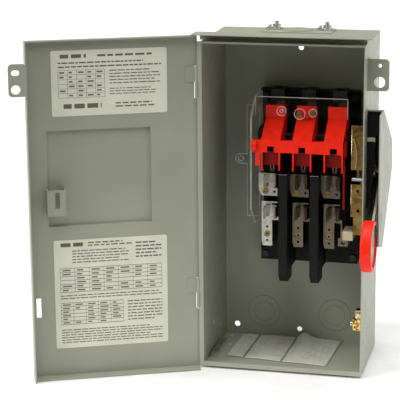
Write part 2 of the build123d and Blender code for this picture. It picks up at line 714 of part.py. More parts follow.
with BuildPart() as mechanism_frame:
    block((frame_inner, frame_front, up(200)), (inner_x, -20, up(326)))
    block((84, frame_front, up(266)), (frame_inner, -100, up(324)))
    block((84, frame_front, up(204)), (frame_inner, -100, up(247)))
    block((87, frame_front, up(180)), (99, -100, up(204)))
    rod(across(guide_x - 0.5), anchor, 2, frame_inner - guide_x + 0.5)
    rod(across(95), handle_axis, handle_shaft_radius + running_gap, 15, Mode.SUBTRACT)
    for height in (212, 238):
        rod(facing(-90), (93, up(height)), 2.2, 20, Mode.SUBTRACT)
finish(mechanism_frame, "mechanism_frame")

with BuildPart() as tie_bar:
    rod(across(84), (-95, up(252)), 2.6, frame_inner - 84)
finish(tie_bar, "tie_bar")

with BuildPart() as snap_strip:
    with BuildSketch(facing(frame_front)):
        with BuildLine():
            front_bow = ThreePointArc((86, up(309)), (90.5, up(288)), (89, up(268)))
            Line(front_bow @ 1, (90.4, up(268)))
            back_bow = ThreePointArc((90.4, up(268)), (91.9, up(288)), (87.4, up(309)))
            Line(back_bow @ 1, front_bow @ 0)
        make_face()
    extrude(amount=6)
finish(snap_strip, "snap_strip")

with BuildPart() as auxiliary_block:
    block((72.5, -100, up(171.5)), (86.5, pad_front, up(183.5)))
    fillet(edges().filter_by(Axis.Y), 1.0)
finish(auxiliary_block, "auxiliary_block")

with BuildPart() as auxiliary_terminal:
    block((66, -90, up(160.5)), (79, pad_front, up(171.5)))
    rod(facing(-85), (72.6, up(166)), 3.2, 10, Mode.SUBTRACT)
    rod(facing(-83), (72.6, up(166)), 2.6, 4)
finish(auxiliary_terminal, "auxiliary_terminal")

ground_y, ground_height = -106.0, 63.0

with BuildPart() as ground_lug:
    block((90, ground_y - 7, up(ground_height - 9)), (inner_x - 1.5, ground_y + 7, up(ground_height + 6)))
    block((93, ground_y - 6, up(ground_height + 6)), (inner_x - 1.5, ground_y + 6, up(ground_height + 18)))
    block((inner_x - 1.5, ground_y - 7, up(ground_height - 9)),
          (inner_x, ground_y + 9, up(ground_stud_height + 5)))
    rod(level(ground_height - 15), (96.5, ground_y), 3.2, 50, Mode.SUBTRACT)
    rod(facing(ground_y), (96.5, up(ground_height + 12)), 2.5, 20, Mode.SUBTRACT)
    rod(across(80), (ground_y, up(ground_height - 2)), 2.5, 16, Mode.SUBTRACT)
    rod(across(90), (ground_stud_y, up(ground_stud_height)), ground_stud_radius + seat_gap, 16,
        Mode.SUBTRACT)
finish(ground_lug, "ground_lug")

with BuildPart() as ground_lug_screws:
    rod(facing(ground_y - 3.4), (96.5, up(ground_height + 12)), 2.5 - seat_gap, 4)
    rod(across(88), (ground_y, up(ground_height - 2)), 2.5 - seat_gap, 5.2)
    rod(across(86.5), (ground_y, up(ground_height - 2)), 4.0, 2)
    rod(across(inner_x - 3), (ground_stud_y, up(ground_stud_height)), ground_stud_radius,
        side_x + 1 - inner_x + 3)
    rod(across(inner_x - 4.5), (ground_stud_y, up(ground_stud_height)), 4.2, 3)
finish(ground_lug_screws, "ground_lug_screws")

with BuildPart() as ground_bar:
    block((-101, -110, up(sheet)), (-93, -45, up(sheet + 7)))
    for y in (-100, -86, -72, -58):
        rod(level(sheet + 3), (-97, y), 2.0, 8, Mode.SUBTRACT)
finish(ground_bar, "ground_bar")

# ---------------------------------------------------------------- the operating handle
arm_x, arm_thickness = 117.0, 3.0
grip_inner_x, grip_outer_x = 109.0, 123.0
rim_inner = 27.0
reach = Vector(grip_y - handle_y, grip_height - handle_height).normalized()

with BuildPart() as handle_shaft:
    rod(across(crank_x), handle_axis, crank_seat_radius, 10.0)
    rod(across(crank_x + 9), handle_axis, handle_shaft_radius, 21.0)
finish(handle_shaft, "handle_shaft")

with BuildPart() as handle_bushing:
    rod(across(inner_x), handle_axis, bushing_radius - seat_gap, sheet)
    rod(across(side_x), handle_axis, 12, 4)
    rod(across(inner_x), handle_axis, handle_shaft_radius + running_gap, 10, Mode.SUBTRACT)
finish(handle_bushing, "handle_bushing")

with BuildPart() as handle_arm:
    lever(across(arm_x), handle_axis, 15, (grip_y, up(grip_height)), 12, arm_thickness)
    rod(across(arm_x), (grip_y, up(grip_height)), rim_inner - 0.5, arm_thickness)
    rod(across(arm_x), handle_axis, handle_shaft_radius + seat_gap, arm_thickness, Mode.SUBTRACT)
finish(handle_arm, "handle_arm")

with BuildPart() as handle_grip:
    rod(across(grip_inner_x), (grip_y, up(grip_height)), grip_radius, grip_outer_x - grip_inner_x)
    fillet(edges().filter_by(GeomType.CIRCLE), 2.5)
    rod(across(arm_x), (grip_y, up(grip_height)), rim_inner, 10, Mode.SUBTRACT)
    notch = Plane(origin=(arm_x - 0.1, grip_y, up(grip_height)), z_dir=(1, 0, 0), x_dir=(0, -reach.X, -reach.Y))
    with BuildSketch(notch):
        with Locations((30, 0)):
            Rectangle(30, 27)
    extrude(amount=10, mode=Mode.SUBTRACT)
finish(handle_grip, "handle_grip")

with BuildPart() as grip_rivets:
    for step in (-9.0, 9.0):
        spot = (grip_y + reach.X * step, up(grip_height) + reach.Y * step)
        rod(across(arm_x + arm_thickness), spot, 3.5, 1.2)
finish(grip_rivets, "grip_rivets")

guard_x = 124.0
guard_outline = ((-140, 345), (-108, 347), (-20, 291), (-14, 252), (-103, 166), (-138, 176))

with BuildPart() as handle_guard:
    with BuildSketch(across(side_x)):
        with BuildLine():
            Polyline(*[(y, up(height)) for y, height in guard_outline], close=True)
        make_face()
        offset(amount=-sheet, mode=Mode.SUBTRACT)
        with Locations((-132, up(256))):
            Rectangle(40, 220, mode=Mode.SUBTRACT)
    extrude(amount=guard_x - side_x)
    prism(across(guard_x), [(y, up(height)) for y, height in guard_outline], sheet)
    with BuildSketch(across(guard_x)):
        with Locations((-120, up(204))):
            SlotOverall(28, 4, rotation=90)
    extrude(amount=sheet, mode=Mode.SUBTRACT)
finish(handle_guard, "handle_guard")

label_plate_back = -112.0
label_plate_step = 314.5
label_plate_wide = ((side_x, label_plate_step), (122.5, label_plate_step), (122.5, 341), (side_x, 341))
label_plate_narrow = ((side_x, label_plate_step), (116, label_plate_step), (116, 304), (115, 270),
                      (107, 219), (side_x, 219))

with BuildPart() as handle_label_plate:
    for outline in (label_plate_wide, label_plate_narrow):
        prism(facing(label_plate_back), [(x, up(height)) for x, height in outline], sheet)
finish(handle_label_plate, "handle_label_plate")

# ---------------------------------------------------------------- the loose leaflet
leaflet_corners = ((-82.5, -99.3), (55.7, -113.9), (60.3, -7.2), (-79.2, -6.4))

with BuildPart() as instruction_leaflet:
    prism(level(sheet + 0.4), leaflet_corners, 0.5)
finish(instruction_leaflet, "instruction_leaflet")
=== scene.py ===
import json
import math
import random

import bmesh
import bpy
from mathutils import Matrix, Vector


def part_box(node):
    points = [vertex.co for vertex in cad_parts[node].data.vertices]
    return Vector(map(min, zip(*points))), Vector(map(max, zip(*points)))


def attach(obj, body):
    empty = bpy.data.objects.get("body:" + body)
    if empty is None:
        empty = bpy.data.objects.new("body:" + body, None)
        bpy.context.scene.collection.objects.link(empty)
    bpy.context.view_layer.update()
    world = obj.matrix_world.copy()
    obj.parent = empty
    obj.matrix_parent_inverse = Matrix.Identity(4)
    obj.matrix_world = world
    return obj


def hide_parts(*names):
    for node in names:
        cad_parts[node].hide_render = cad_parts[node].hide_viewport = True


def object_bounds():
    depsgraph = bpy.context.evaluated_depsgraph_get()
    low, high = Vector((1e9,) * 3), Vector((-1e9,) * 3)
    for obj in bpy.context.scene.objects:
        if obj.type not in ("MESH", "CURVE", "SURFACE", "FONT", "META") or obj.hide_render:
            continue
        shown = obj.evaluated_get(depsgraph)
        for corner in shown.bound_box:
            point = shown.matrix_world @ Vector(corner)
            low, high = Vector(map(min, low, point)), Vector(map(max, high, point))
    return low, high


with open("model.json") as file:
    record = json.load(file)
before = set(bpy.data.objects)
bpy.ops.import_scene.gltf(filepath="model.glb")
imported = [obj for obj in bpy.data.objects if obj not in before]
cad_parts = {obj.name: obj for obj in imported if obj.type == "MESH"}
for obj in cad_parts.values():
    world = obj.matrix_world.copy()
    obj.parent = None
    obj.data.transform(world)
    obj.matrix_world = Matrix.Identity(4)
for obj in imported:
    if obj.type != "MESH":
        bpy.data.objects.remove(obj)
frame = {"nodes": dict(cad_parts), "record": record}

MM = 0.001
cad_low, cad_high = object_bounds()
joints = {joint["name"]: joint for joint in frame["record"]["behaviour"]["joints"]}


# ---------------------------------------------------------------- materials
def material(name, colour, roughness, metallic=0.0):
    """A plain principled material, ready for detail."""
    made = bpy.data.materials.new(name)
    made.use_nodes = True
    shader = made.node_tree.nodes["Principled BSDF"]
    shader.inputs["Base Color"].default_value = (*colour, 1)
    shader.inputs["Roughness"].default_value = roughness
    shader.inputs["Metallic"].default_value = metallic
    return made


def noise(made, scale, detail=3.0, stretch=(1, 1, 1)):
    """The value of a noise in the object's own space; scale is in cells a metre."""
    tree = made.node_tree
    where = tree.nodes.new("ShaderNodeTexCoord")
    place = tree.nodes.new("ShaderNodeMapping")
    place.inputs["Scale"].default_value = stretch
    texture = tree.nodes.new("ShaderNodeTexNoise")
    texture.inputs["Scale"].default_value = scale
    texture.inputs["Detail"].default_value = detail
    tree.links.new(where.outputs["Object"], place.inputs["Vector"])
    tree.links.new(place.outputs["Vector"], texture.inputs["Vector"])
    return texture.outputs["Fac"]


def tint(made, value, stops):
    """Colours the surface from a value, through (position, colour) stops."""
    tree = made.node_tree
    ramp = tree.nodes.new("ShaderNodeValToRGB")
    while len(ramp.color_ramp.elements) < len(stops):
        ramp.color_ramp.elements.new(0.5)
    for element, (position, colour) in zip(ramp.color_ramp.elements, stops):
        element.position = position
        element.color = (*colour, 1)
    tree.links.new(value, ramp.inputs["Fac"])
    tree.links.new(ramp.outputs["Color"], tree.nodes["Principled BSDF"].inputs["Base Color"])


def vary_gloss(made, value, low, high):
    """Lets the roughness wander between two values."""
    tree = made.node_tree
    spread = tree.nodes.new("ShaderNodeMapRange")
    spread.inputs["From Min"].default_value = 0.3
    spread.inputs["From Max"].default_value = 0.7
    spread.inputs["To Min"].default_value = low
    spread.inputs["To Max"].default_value = high
    tree.links.new(value, spread.inputs["Value"])
    tree.links.new(spread.outputs["Result"], tree.nodes["Principled BSDF"].inputs["Roughness"])


def relief(made, value, strength, depth):
    """Raises the surface by a value; depth is in millimetres."""
    tree = made.node_tree
    bump = tree.nodes.new("ShaderNodeBump")
    bump.inputs["Strength"].default_value = strength
    bump.inputs["Distance"].default_value = depth * MM
    tree.links.new(value, bump.inputs["Height"])
    tree.links.new(bump.outputs["Normal"], tree.nodes["Principled BSDF"].inputs["Normal"])


def scaled(colour, factor):
    return tuple(channel * factor for channel in colour)


def two_tones(made, value, colour, spread):
    """Wanders round a colour by a fraction either way."""
    tint(made, value, ((0.3, scaled(colour, 1 - spread)), (0.7, scaled(colour, 1 + spread))))


def grey_paint():
    """Baked powder coat: faint orange peel and a slow drift of tone."""
    colour = (0.33, 0.345, 0.265)
    made = material("grey_paint", colour, 0.42)
    two_tones(made, noise(made, 14, 5), colour, 0.05)
    vary_gloss(made, noise(made, 60), 0.34, 0.5)
    relief(made, noise(made, 900, 2), 0.25, 0.05)
    return made


def moulding(name, colour, low, high, depth, shine=0.5):
    """Moulded plastic: fine texture and uneven gloss; shine is how much its surface reflects."""
    made = material(name, colour, low)
    made.node_tree.nodes["Principled BSDF"].inputs["Specular IOR Level"].default_value = shine
    two_tones(made, noise(made, 90, 4), colour, 0.10)
    vary_gloss(made, noise(made, 200, 3), low, high)
    relief(made, noise(made, 1500, 3), 0.3, depth)
    return made


def along_axis(made, axis, start, end):
    """How far a point lies from one plane to another across an axis: 0 to 1, limits in millimetres."""
    tree = made.node_tree
    where = tree.nodes.new("ShaderNodeTexCoord")
    split = tree.nodes.new("ShaderNodeSeparateXYZ")
    share = tree.nodes.new("ShaderNodeMapRange")
    share.inputs["From Min"].default_value = start * MM
    share.inputs["From Max"].default_value = end * MM
    tree.links.new(where.outputs["Object"], split.inputs["Vector"])
    tree.links.new(split.outputs[axis], share.inputs["Value"])
    return share.outputs["Result"]


def dim_beyond(made, axis, start, end, factor):
    """Multiplies a material's colour by a factor that comes in between two planes and holds beyond."""
    tree = made.node_tree
    base = tree.nodes["Principled BSDF"].inputs["Base Color"]
    mix = tree.nodes.new("ShaderNodeMix")
    mix.data_type = "RGBA"
    mix.blend_type = "MULTIPLY"
    colour_inputs = [socket for socket in mix.inputs if socket.type == "RGBA"]
    colour_outputs = [socket for socket in mix.outputs if socket.type == "RGBA"]
    colour_inputs[1].default_value = (*factor, 1)
    tree.links.new(base.links[0].from_socket, colour_inputs[0])
    tree.links.new(along_axis(made, axis, start, end), mix.inputs[0])
    tree.links.new(colour_outputs[0], base)


def plated(name, colour, low, high, along=(1, 12, 12)):
    """Rolled, plated metal: brushed along one way, mottled, and uneven in gloss."""
    made = material(name, colour, low, 1.0)
    two_tones(made, noise(made, 120, 4), colour, 0.16)
    vary_gloss(made, noise(made, 160, 4, along), low, high)
    relief(made, noise(made, 400, 2, along), 0.15, 0.04)
    return made


def yellow_zinc():
    """Yellow chromate over zinc: gold, with green and rose clouds."""
    made = material("yellow_zinc", (0.30, 0.20, 0.07), 0.35, 1.0)
    tint(made, noise(made, 70, 5), ((0.30, (0.13, 0.065, 0.022)), (0.45, (0.30, 0.18, 0.055)),
                                    (0.58, (0.42, 0.28, 0.095)), (0.75, (0.20, 0.15, 0.05))))
    vary_gloss(made, noise(made, 260, 3), 0.24, 0.46)
    relief(made, noise(made, 700, 2), 0.15, 0.04)
    return made


def clear_plastic():
    """Clear sheet with a gentle wave and a gloss that varies in streaks."""
    made = material("clear_plastic", (0.93, 0.95, 0.92), 0.06)
    shader = made.node_tree.nodes["Principled BSDF"]
    shader.inputs["Transmission Weight"].default_value = 1.0
    shader.inputs["IOR"].default_value = 1.45
    shader.inputs["Alpha"].default_value = 0.16
    vary_gloss(made, noise(made, 50, 6, (1, 1, 6)), 0.03, 0.16)
    relief(made, noise(made, 30, 2), 0.10, 0.2)
    return made


def painted_glow_edge():
    """The cut edge of clear sheet, painted pale as a highlight, with a faint painted glow though it is no
    lamp.
    """
    colour = (0.62, 0.59, 0.51)
    made = material("painted_glow_edge", colour, 0.25)
    two_tones(made, noise(made, 90, 3), colour, 0.25)
    shader = made.node_tree.nodes["Principled BSDF"]
    # painted glow: the edge gives off a little light of its own
    shader.inputs["Emission Color"].default_value = (0.80, 0.76, 0.66, 1)
    shader.inputs["Emission Strength"].default_value = 0.08
    return made


def card(name, colour):
    """Uncoated card or paper: fibre and a little soiling."""
    made = material(name, colour, 0.7)
    two_tones(made, noise(made, 25, 6), colour, 0.06)
    vary_gloss(made, noise(made, 300, 2), 0.6, 0.8)
    relief(made, noise(made, 2500, 3), 0.25, 0.02)
    return made


red = (0.90, 0.020, 0.006)

GREY = grey_paint()
RED = moulding("red_moulding", red, 0.30, 0.45, 0.02, 0.22)
RED_BAR_PAINTED_SHADE = moulding("red_crossbar_painted_shade", red, 0.30, 0.45, 0.02, 0.22)
dim_beyond(RED_BAR_PAINTED_SHADE, "Y", -98, -94.5, (0.22, 0.3, 0.5))  # painted shade: darker behind its front face, where the recess lies in shade
BLACK = moulding("black_moulding", (0.0045, 0.0045, 0.0042), 0.40, 0.60, 0.04, 0.18)
# painted highlight: pale grey for the light caught on the barriers' top front edges
BARRIER_PAINTED_HIGHLIGHT = moulding("black_painted_highlight", (0.20, 0.20, 0.19), 0.30, 0.45, 0.02)
DARK = moulding("dark_plate", (0.006, 0.006, 0.006), 0.45, 0.6, 0.02, 0.2)
CREAM = moulding("cream_moulding", (0.50, 0.43, 0.27), 0.35, 0.50, 0.02)
STEEL = plated("bright_steel", (0.66, 0.65, 0.62), 0.22, 0.42)
TINNED_PAINTED_SHADE = plated("tinned_metal", (0.62, 0.60, 0.53), 0.24, 0.42)
dim_beyond(TINNED_PAINTED_SHADE, "X", -9, -3, (0.34, 0.30, 0.25))  # painted shade: the middle and right poles' clips are darkened
BLACKED = plated("black_steel", (0.045, 0.045, 0.042), 0.35, 0.55)
# painted shade: near black, for the shade this metal lies in behind the shield
LUG_METAL_PAINTED_SHADE = plated("dull_aluminium", (0.045, 0.045, 0.042), 0.40, 0.60)
COPPER = plated("copper_alloy", (0.46, 0.30, 0.20), 0.26, 0.44)
BRASS = plated("brass_metal", (0.62, 0.42, 0.13), 0.14, 0.30)
tint(BRASS, noise(BRASS, 330, 4), ((0.38, (0.07, 0.04, 0.01)), (0.50, (0.46, 0.28, 0.07)),
                                   (0.62, (0.86, 0.64, 0.26))))
AGED = plated("aged_brass", (0.34, 0.24, 0.10), 0.24, 0.42)
# the snap strip's bright zinc, and painted highlights along the mechanism plates' left edges
ZINC_AND_PAINTED_HIGHLIGHT = plated("bright_zinc_painted_highlight", (0.86, 0.66, 0.32), 0.18, 0.30)
ZINC = yellow_zinc()
CLEAR = clear_plastic()
LABEL = card("label_card", (0.70, 0.71, 0.57))
PAPER = card("leaflet_stock", (0.52, 0.53, 0.45))
INK = card("label_ink", (0.11, 0.115, 0.09))
PAPER_INK = card("leaflet_ink", (0.40, 0.41, 0.345))
# painted shade: the leaflet's creases, where shade falls in the folds
CREASE_PAINTED_SHADE = card("leaflet_crease_shade", (0.16, 0.165, 0.13))
GROOVE = card("knockout_groove", (0.12, 0.125, 0.095))
# painted light: pale spots for pools of light low on the left wall and the floor
PAINTED_LIGHT_SPOT = card("painted_light_spot", (0.62, 0.58, 0.50))
BAND = card("band_card", (0.52, 0.53, 0.45))
PAINTED_GLOW_EDGE = painted_glow_edge()

by_slot = {"grey_paint": GREY, "red_moulding": RED, "black_moulding": BLACK, "dark_plate": DARK,
           "bright_steel": STEEL, "copper_alloy": COPPER, "brass_metal": BRASS, "yellow_zinc": ZINC,
           "tinned_metal": TINNED_PAINTED_SHADE, "aged_brass": AGED, "black_steel": BLACKED, "dull_aluminium": LUG_METAL_PAINTED_SHADE,
           "cream_moulding": CREAM, "clear_plastic": CLEAR, "label_card": LABEL, "leaflet_stock": PAPER}

by_node = {"rotor_crossbar": RED_BAR_PAINTED_SHADE, "snap_strip": ZINC_AND_PAINTED_HIGHLIGHT}


def dress_frame():
    """Gives every CAD node its material, and breaks its sharp edges."""
    slots = {part["node"]: part["material_slot"] for part in frame["record"]["subparts"]}
    moulded_edge, metal_edge = 0.6, 0.25
    for name, node in frame["nodes"].items():
        for material_slot in node.material_slots:
            material_slot.material = by_node.get(name, by_slot[slots[name]])
        edge = node.modifiers.new("broken_edges", "BEVEL")
        moulded = slots[name] in ("black_moulding", "red_moulding")
        edge.width = (moulded_edge if moulded else metal_edge) * MM
        edge.segments = 2
        edge.limit_method = "ANGLE"
        edge.angle_limit = math.radians(50)
        edge.use_clamp_overlap = True


# ---------------------------------------------------------------- building pieces
def piece(name, points, faces, body, finish, space=Matrix.Identity(4), tones=None):
    """A mesh drawn in a space of its own and carried by a body."""
    mesh = bpy.data.meshes.new(name)
    mesh.from_pydata([tuple(point) for point in points], [], faces)
    for surface in finish:
        mesh.materials.append(surface)
    if tones:
        mesh.polygons.foreach_set("material_index", tones)
    mesh.update()
    made = bpy.data.objects.new(name, mesh)
    bpy.context.scene.collection.objects.link(made)
    made.matrix_world = space
    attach(made, body)
    return made


def wire(name, radius, roundness):
    """An empty curve that will be drawn as round wire."""
    curve = bpy.data.curves.new(name, "CURVE")
    curve.dimensions = "3D"
    curve.bevel_depth = radius
    curve.bevel_resolution = roundness
    return curve


def link_wire(name, curve, finish):
    """Puts a finished curve into the scene."""
    curve.materials.append(finish)
    made = bpy.data.objects.new(name, curve)
    bpy.context.scene.collection.objects.link(made)
    return made


def space_box(node, space):
    """Lowest and highest corners of a CAD node in another space."""
    inverse = space.inverted()
    corners = [inverse @ vertex.co for vertex in frame["nodes"][node].data.vertices]
    low = Vector(min(corner[axis] for corner in corners) for axis in range(3))
    high = Vector(max(corner[axis] for corner in corners) for axis in range(3))
    return low, high


door_turn = math.radians(joints["door_hinge"]["range_deg"][1])
door_space = Matrix.Translation(joints["door_hinge"]["pos_m"]) @ Matrix.Rotation(-door_turn, 4, "Z")


# ---------------------------------------------------------------- printed labels
def row_bars(chance, left, right, low, high, count, weight, words):
    """Rows of plain bars, broken like lines of small print.

    weight is a bar's share of its row's height; words is the shortest and the longest bar.
    """
    least_width, gap_share = 0.75, 0.45
    pitch = (high - low) / count
    for row in range(count):
        base = high - pitch * (row + 0.5)
        at = left
        end = right if row % 3 else left + (right - left) * chance.uniform(least_width, 1.0)
        while at < end:
            step = chance.uniform(*words)
            yield at, min(at + step, end), base - weight * pitch / 2, base + weight * pitch / 2
            at += step + words[0] * gap_share


def table_bars(chance, left, right, low, high, across, down):
    """A ruled table with a bar in most of its cells."""
    half_rule_high, half_rule_wide = 0.0022, 0.0013
    filled, inset, half_bar = 0.85, 0.15, 0.17
    for line in range(down + 1):
        base = low + (high - low) * line / down
        yield left, right, base - half_rule_high, base + half_rule_high
    for line in range(across + 1):
        at = left + (right - left) * line / across
        yield at - half_rule_wide, at + half_rule_wide, low, high
    for column in range(across):
        for line in range(down):
            cell = left + (right - left) * (column + inset) / across
            width = (right - left) / across * chance.uniform(0.3, 0.68)
            base = low + (high - low) * (line + 0.5) / down
            tall = (high - low) / down * half_bar
            if chance.random() < filled:
                yield cell, cell + width, base - tall, base + tall


def rounded_outline(low, high, corner):
    """The outline of a card with rounded corners, as (x, z) points."""
    arc = [math.radians(step * 15) for step in range(7)]
    outline = []
    for side_x, side_z, start in ((1, 1, 0), (-1, 1, 90), (-1, -1, 180), (1, -1, 270)):
        centre_x = (high.x if side_x > 0 else low.x) - side_x * corner
        centre_z = (high.z if side_z > 0 else low.z) - side_z * corner
        for angle in arc:
            angle += math.radians(start)
            outline.append((centre_x + corner * math.cos(angle), centre_z + corner * math.sin(angle)))
    return outline


def label(node, layout, seed):
    """A card label on the door, with its print as thin bars standing just off the card."""
    chance = random.Random(seed)
    low, high = space_box(node, door_space)
    wide, tall = high.x - low.x, high.z - low.z
    outline = rounded_outline(low, high, 2.5 * MM)
    count = len(outline)
    points = [(x, low.y, z) for x, z in outline] + [(x, high.y, z) for x, z in outline]
    faces = [tuple(range(count)), tuple(range(2 * count - 1, count - 1, -1))]
    for index in range(count):
        beside = (index + 1) % count
        faces.append((index, count + index, count + beside, beside))
    tones = [0] * len(faces)
    proud = high.y + 0.06 * MM
    for bars, *numbers in layout:
        for left, right, bottom, top in bars(chance, *numbers):
            start = len(points)
            edges = (high.x - left * wide, high.x - right * wide)
            heights = (low.z + bottom * tall, low.z + top * tall)
            points += [(edges[0], proud, heights[0]), (edges[1], proud, heights[0]),
                       (edges[1], proud, heights[1]), (edges[0], proud, heights[1])]
            faces.append((start, start + 1, start + 2, start + 3))
            tones.append(1)
    made = piece(f"{node}_card", points, faces, "door", (LABEL, INK), door_space, tones)
    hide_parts(node)


# Each block is its kind, its left, right, low and high as fractions of the card, and its own numbers.
upper_layout = (
    (row_bars, 0.08, 0.34, 0.87, 0.95, 1, 0.7, (0.05, 0.09)),
    (row_bars, 0.40, 0.94, 0.88, 0.94, 1, 0.5, (0.04, 0.09)),
    (row_bars, 0.06, 0.95, 0.72, 0.84, 2, 0.35, (0.02, 0.06)),
    (table_bars, 0.06, 0.46, 0.28, 0.70, 5, 6),
    (row_bars, 0.50, 0.94, 0.46, 0.70, 5, 0.32, (0.02, 0.07)),
    (row_bars, 0.50, 0.90, 0.30, 0.42, 3, 0.32, (0.02, 0.06)),
    (row_bars, 0.10, 0.44, 0.10, 0.20, 1, 0.7, (0.05, 0.10)),
    (row_bars, 0.55, 0.90, 0.10, 0.20, 2, 0.4, (0.03, 0.07)))
lower_layout = (
    (row_bars, 0.06, 0.26, 0.93, 0.98, 1, 0.7, (0.05, 0.09)),
    (row_bars, 0.30, 0.70, 0.93, 0.98, 2, 0.45, (0.03, 0.07)),
    (row_bars, 0.16, 0.66, 0.78, 0.91, 5, 0.35, (0.02, 0.07)),
    (row_bars, 0.72, 0.95, 0.80, 0.96, 5, 0.4, (0.02, 0.06)),
    (table_bars, 0.05, 0.95, 0.52, 0.74, 7, 6),
    (row_bars, 0.05, 0.95, 0.45, 0.50, 2, 0.35, (0.02, 0.07)),
    (table_bars, 0.05, 0.60, 0.22, 0.42, 5, 6),
    (row_bars, 0.64, 0.95, 0.22, 0.42, 7, 0.35, (0.02, 0.06)),
    (row_bars, 0.05, 0.95, 0.04, 0.18, 6, 0.35, (0.02, 0.07)))


# ---------------------------------------------------------------- the loose leaflet
def leaflet():
    """A folded paper leaflet: two creases darkened with painted shade, bowed between them, with a fold
    standing at its back edge.
    """
    low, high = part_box("instruction_leaflet")
    front_left = Vector((low.x, low.y + 14.6 * MM, 0))
    front_right = Vector((high.x - 4.6 * MM, low.y, 0))
    back_left = Vector((low.x + 3.3 * MM, high.y, 0))
    back_right = Vector((high.x, high.y - 0.8 * MM, 0))
    columns, lines = 48, 32
    creases = (0.0, 0.1875, 0.5625, 1.0)
    crease_shade_columns = [round(crease * columns) - 1 for crease in creases[1:-1]]
    bow_height, fold_height, ripple_height = 1.5, 8.0, 0.35
    fold_at, fold_width, fold_from = 0.63, 0.075, 0.78
    points = []
    for line in range(lines + 1):
        v = line / lines
        for column in range(columns + 1):
            u = column / columns
            spot = front_left.lerp(front_right, u).lerp(back_left.lerp(back_right, u), v)
            last = max(crease for crease in creases if crease <= u + 1e-9 and crease < 1)
            following = min(crease for crease in creases if crease > last)
            bow = bow_height * math.sin(math.pi * (u - last) / (following - last))
            rise = max(0.0, (v - fold_from) / (1 - fold_from)) ** 1.3
            tent = fold_height * math.exp(-((u - fold_at) / fold_width) ** 2) * rise
            ripple = ripple_height * math.sin(17 * u + 3 * v) * math.sin(9 * v)
            spot.z = low.z + (0.4 + bow * (0.35 + 0.65 * v) + tent + max(ripple, 0)) * MM
            points.append(spot)
    faces = []
    tones = []
    for line in range(lines):
        for column in range(columns):
            corner = line * (columns + 1) + column
            faces.append((corner, corner + 1, corner + columns + 2, corner + columns + 1))
            inset = 2 < column % 16 < 14 and 3 < line < lines - 3
            printed = inset and line % 2 == 1 and (column * 7 + line * 5) % 11 > 1
            tones.append(2 if column in crease_shade_columns else 1 if printed else 0)
    finish = (PAPER, PAPER_INK, CREASE_PAINTED_SHADE)
    made = piece("leaflet_paper", points, faces, "box", finish, tones=tones)
    for polygon in made.data.polygons:
        polygon.use_smooth = True
    thick = made.modifiers.new("thickness", "SOLIDIFY")
    thick.thickness = 0.2 * MM
    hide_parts("instruction_leaflet")


# ---------------------------------------------------------------- the toggle spring
def toggle_coil():
    """The toggle spring as one wire wound round its guide."""
    joint = joints["toggle_turn"]
    anchor = Vector(joint["pos_m"])
    _, guide_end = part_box("spring_guide")
    along = Vector((0, guide_end.y - anchor.y, guide_end.z - anchor.z)).normalized()
    side = Vector((1, 0, 0))
    across = along.cross(side)
    coil = 5.0 * MM
    turns, per_turn = 8, 20
    start, length = 6.6 * MM, 14.2 * MM
    curve = wire("toggle_coil", 0.65 * MM, 3)
    spline = curve.splines.new("POLY")
    spline.points.add(turns * per_turn)
    for index, point in enumerate(spline.points):
        share = index / (turns * per_turn)
        angle = 2 * math.pi * turns * share
        centre = anchor + along * (start + length * share)
        spot = centre + (side * math.cos(angle) + across * math.sin(angle)) * coil
        point.co = (*spot, 1)
    made = link_wire("toggle_coil", curve, STEEL)
    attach(made, "toggle")
    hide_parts("toggle_spring")


# ---------------------------------------------------------------- painted highlights and dark grooves
def sharp_chains(node, keep):
    """The sharp edges of a CAD node whose two ends pass a test, joined end to end into chains of points."""
    sharp_angle = math.radians(40)
    same_point = 0.001 * MM
    mesh = bmesh.new()
    mesh.from_mesh(frame["nodes"][node].data)
    bmesh.ops.remove_doubles(mesh, verts=mesh.verts, dist=same_point)
    sharp = [edge for edge in mesh.edges if len(edge.link_faces) == 2
             and edge.calc_face_angle(0.0) > sharp_angle and keep(*(vert.co for vert in edge.verts))]
    meeting = {}
    for edge in sharp:
        for vert in edge.verts:
            meeting.setdefault(vert, []).append(edge)
    used = set()
    chains = []
    for first in sharp:
        if first in used:
            continue
        used.add(first)
        chain = list(first.verts)
        for end in (-1, 0):
            while len(meeting[chain[end]]) == 2:
                following = [edge for edge in meeting[chain[end]] if edge not in used]
                if not following:
                    break
                used.add(following[0])
                chain.insert(len(chain) if end else 0, following[0].other_vert(chain[end]))
        chains.append([vert.co.copy() for vert in chain])
    mesh.free()
    return chains


def edge_beads(name, node, keep, radius, finish, body="box"):
    """A fine bead along the sharp edges of a CAD node; in a pale finish it is a painted highlight where the
    rounded edge catches the light, in a dark one a groove.
    """
    curve = wire(name, radius, 1)
    curve.use_fill_caps = True
    for chain in sharp_chains(node, keep):
        spline = curve.splines.new("POLY")
        spline.points.add(len(chain) - 1)
        for point, spot in zip(spline.points, chain):
            point.co = (*spot, 1)
    made = link_wire(name, curve, finish)
    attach(made, body)


def near(value, target, slack=0.6):
    """Whether two values lie within a slack, in millimetres, of each other."""
    return abs(value - target) < slack * MM


